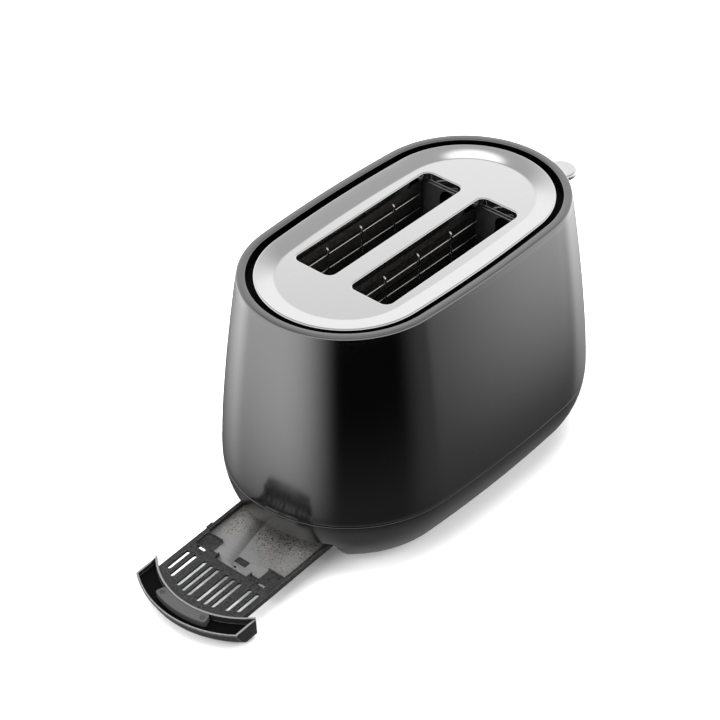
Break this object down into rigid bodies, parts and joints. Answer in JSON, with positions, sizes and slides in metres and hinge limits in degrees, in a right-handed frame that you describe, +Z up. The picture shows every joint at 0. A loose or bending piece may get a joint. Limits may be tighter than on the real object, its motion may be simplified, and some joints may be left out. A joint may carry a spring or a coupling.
{
  "type": "pop up toaster",
  "caption": "Oval pop-up toaster with parallel long bread slots, a finger lever, wire bread guards and a sloping crumb tray drawn out of one end.",
  "frame": {"origin": "on the table, below the middle of the whole toaster as it stands with its tray out and its lever up", "axes": "+Z up, +X towards the lever end, so the crumb tray comes out towards -X; the slots run along X"},
  "size_m": [0.4448, 0.1904, 0.2057],
  "materials": {
    "shell_paint": "gloss dark gunmetal",
    "collar_black": "matte",
    "plate_steel": "fine brushed",
    "base_black": "satin",
    "bottom_steel": "zinc plated",
    "foot_rubber": "matte",
    "screw_steel": "zinc plated",
    "panel_black": "gloss",
    "gland_black": "matte",
    "guide_plastic": "satin",
    "chamber_steel": "plain sheet, slightly heat stained",
    "mica_board": "flecked",
    "ribbon_metal": "oxidised",
    "wire_steel": "bright wire",
    "rod_steel": "ground",
    "spring_steel": "bright wire",
    "magnet_iron": "plain",
    "coil_copper": "lacquered wire",
    "board_green": "solder mask",
    "switch_black": "moulded",
    "terminal_cream": "moulded",
    "lever_silver": "satin",
    "tray_black": "fine texture",
    "tray_steel": "brushed, used",
    "fascia_black": "satin",
    "grip_grey": "matte",
    "dial_black": "satin",
    "button_silver": "satin metallic"
  },
  "bodies": {
    "housing": {"outer_shell": "shell_paint", "vent_collar": "collar_black", "top_plate": "plate_steel", "base_housing": "base_black", "bottom_plate": "bottom_steel", "feet": "foot_rubber", "base_screws": "screw_steel", "control_panel": "panel_black", "cord_gland": "gland_black", "tray_guides": "guide_plastic", "rear_frame": "chamber_steel", "front_frame": "chamber_steel", "left_reflector": "chamber_steel", "right_reflector": "chamber_steel", "left_heater": "mica_board", "center_heater": "mica_board", "right_heater": "mica_board", "heater_windings": "ribbon_metal", "guide_rods": "rod_steel", "rod_brackets": "chamber_steel", "return_spring": "spring_steel", "electromagnet": "magnet_iron", "magnet_coil": "coil_copper", "circuit_board": "board_green", "tact_switches": "switch_black", "potentiometer": "switch_black", "terminal_block": "terminal_cream"},
    "carriage": {"carriage_plate": "chamber_steel", "left_bread_rack": "chamber_steel", "right_bread_rack": "chamber_steel", "armature": "magnet_iron", "lever_arm": "chamber_steel", "lever_knob": "lever_silver"},
    "left_outer_guard_body": {"left_outer_guard": "wire_steel"},
    "left_inner_guard_body": {"left_inner_guard": "wire_steel"},
    "right_inner_guard_body": {"right_inner_guard": "wire_steel"},
    "right_outer_guard_body": {"right_outer_guard": "wire_steel"},
    "crumb_tray": {"crumb_tray_frame": "tray_black", "crumb_tray_floor": "tray_steel", "tray_fascia": "fascia_black", "fascia_grip": "grip_grey"},
    "dial": {"browning_dial": "dial_black", "dial_shaft": "rod_steel"},
    "cancel_button_body": {"cancel_button": "button_silver"},
    "defrost_button_body": {"defrost_button": "button_silver"},
    "reheat_button_body": {"reheat_button": "button_silver"}
  },
  "joints": [
    {"name": "carriage_lift", "type": "slide", "parent": "housing", "child": "carriage", "axis": [0, 0, 1], "range_m": [-0.075, 0], "stiffness_N_per_m": 150, "springref_m": 0.03, "deforming": ["return_spring"]},
    {"name": "left_outer_guard_hinge", "type": "hinge", "parent": "housing", "child": "left_outer_guard_body", "pos_m": [0.03138, 0.045, 0.064], "axis": [-1, 0, 0], "range_deg": [-4.05, 0]},
    {"name": "left_inner_guard_hinge", "type": "hinge", "parent": "housing", "child": "left_inner_guard_body", "pos_m": [0.03138, 0.009, 0.064], "axis": [1, 0, 0], "range_deg": [-4.05, 0]},
    {"name": "right_inner_guard_hinge", "type": "hinge", "parent": "housing", "child": "right_inner_guard_body", "pos_m": [0.03138, -0.009, 0.064], "axis": [-1, 0, 0], "range_deg": [-4.05, 0]},
    {"name": "right_outer_guard_hinge", "type": "hinge", "parent": "housing", "child": "right_outer_guard_body", "pos_m": [0.03138, -0.045, 0.064], "axis": [1, 0, 0], "range_deg": [-4.05, 0]},
    {"name": "crumb_tray_slide", "type": "slide", "parent": "housing", "child": "crumb_tray", "axis": [-0.9981, 0, -0.061], "range_m": [-0.105, 0.02]},
    {"name": "dial_turn", "type": "hinge", "parent": "housing", "child": "dial", "pos_m": [0.18138, 0, 0.068], "axis": [1, 0, 0], "range_deg": [-140, 140]},
    {"name": "cancel_press", "type": "slide", "parent": "housing", "child": "cancel_button_body", "axis": [1, 0, 0], "range_m": [-0.0015, 0], "stiffness_N_per_m": 500},
    {"name": "defrost_press", "type": "slide", "parent": "housing", "child": "defrost_button_body", "axis": [1, 0, 0], "range_m": [-0.0015, 0], "stiffness_N_per_m": 500},
    {"name": "reheat_press", "type": "slide", "parent": "housing", "child": "reheat_button_body", "axis": [1, 0, 0], "range_m": [-0.0015, 0], "stiffness_N_per_m": 500}
  ],
  "couplings": [
    {"joint": "left_outer_guard_hinge", "follows": "carriage_lift", "rad_per_m": 0.9308},
    {"joint": "left_inner_guard_hinge", "follows": "carriage_lift", "rad_per_m": 0.9308},
    {"joint": "right_inner_guard_hinge", "follows": "carriage_lift", "rad_per_m": 0.9308},
    {"joint": "right_outer_guard_hinge", "follows": "carriage_lift", "rad_per_m": 0.9308}
  ]
}
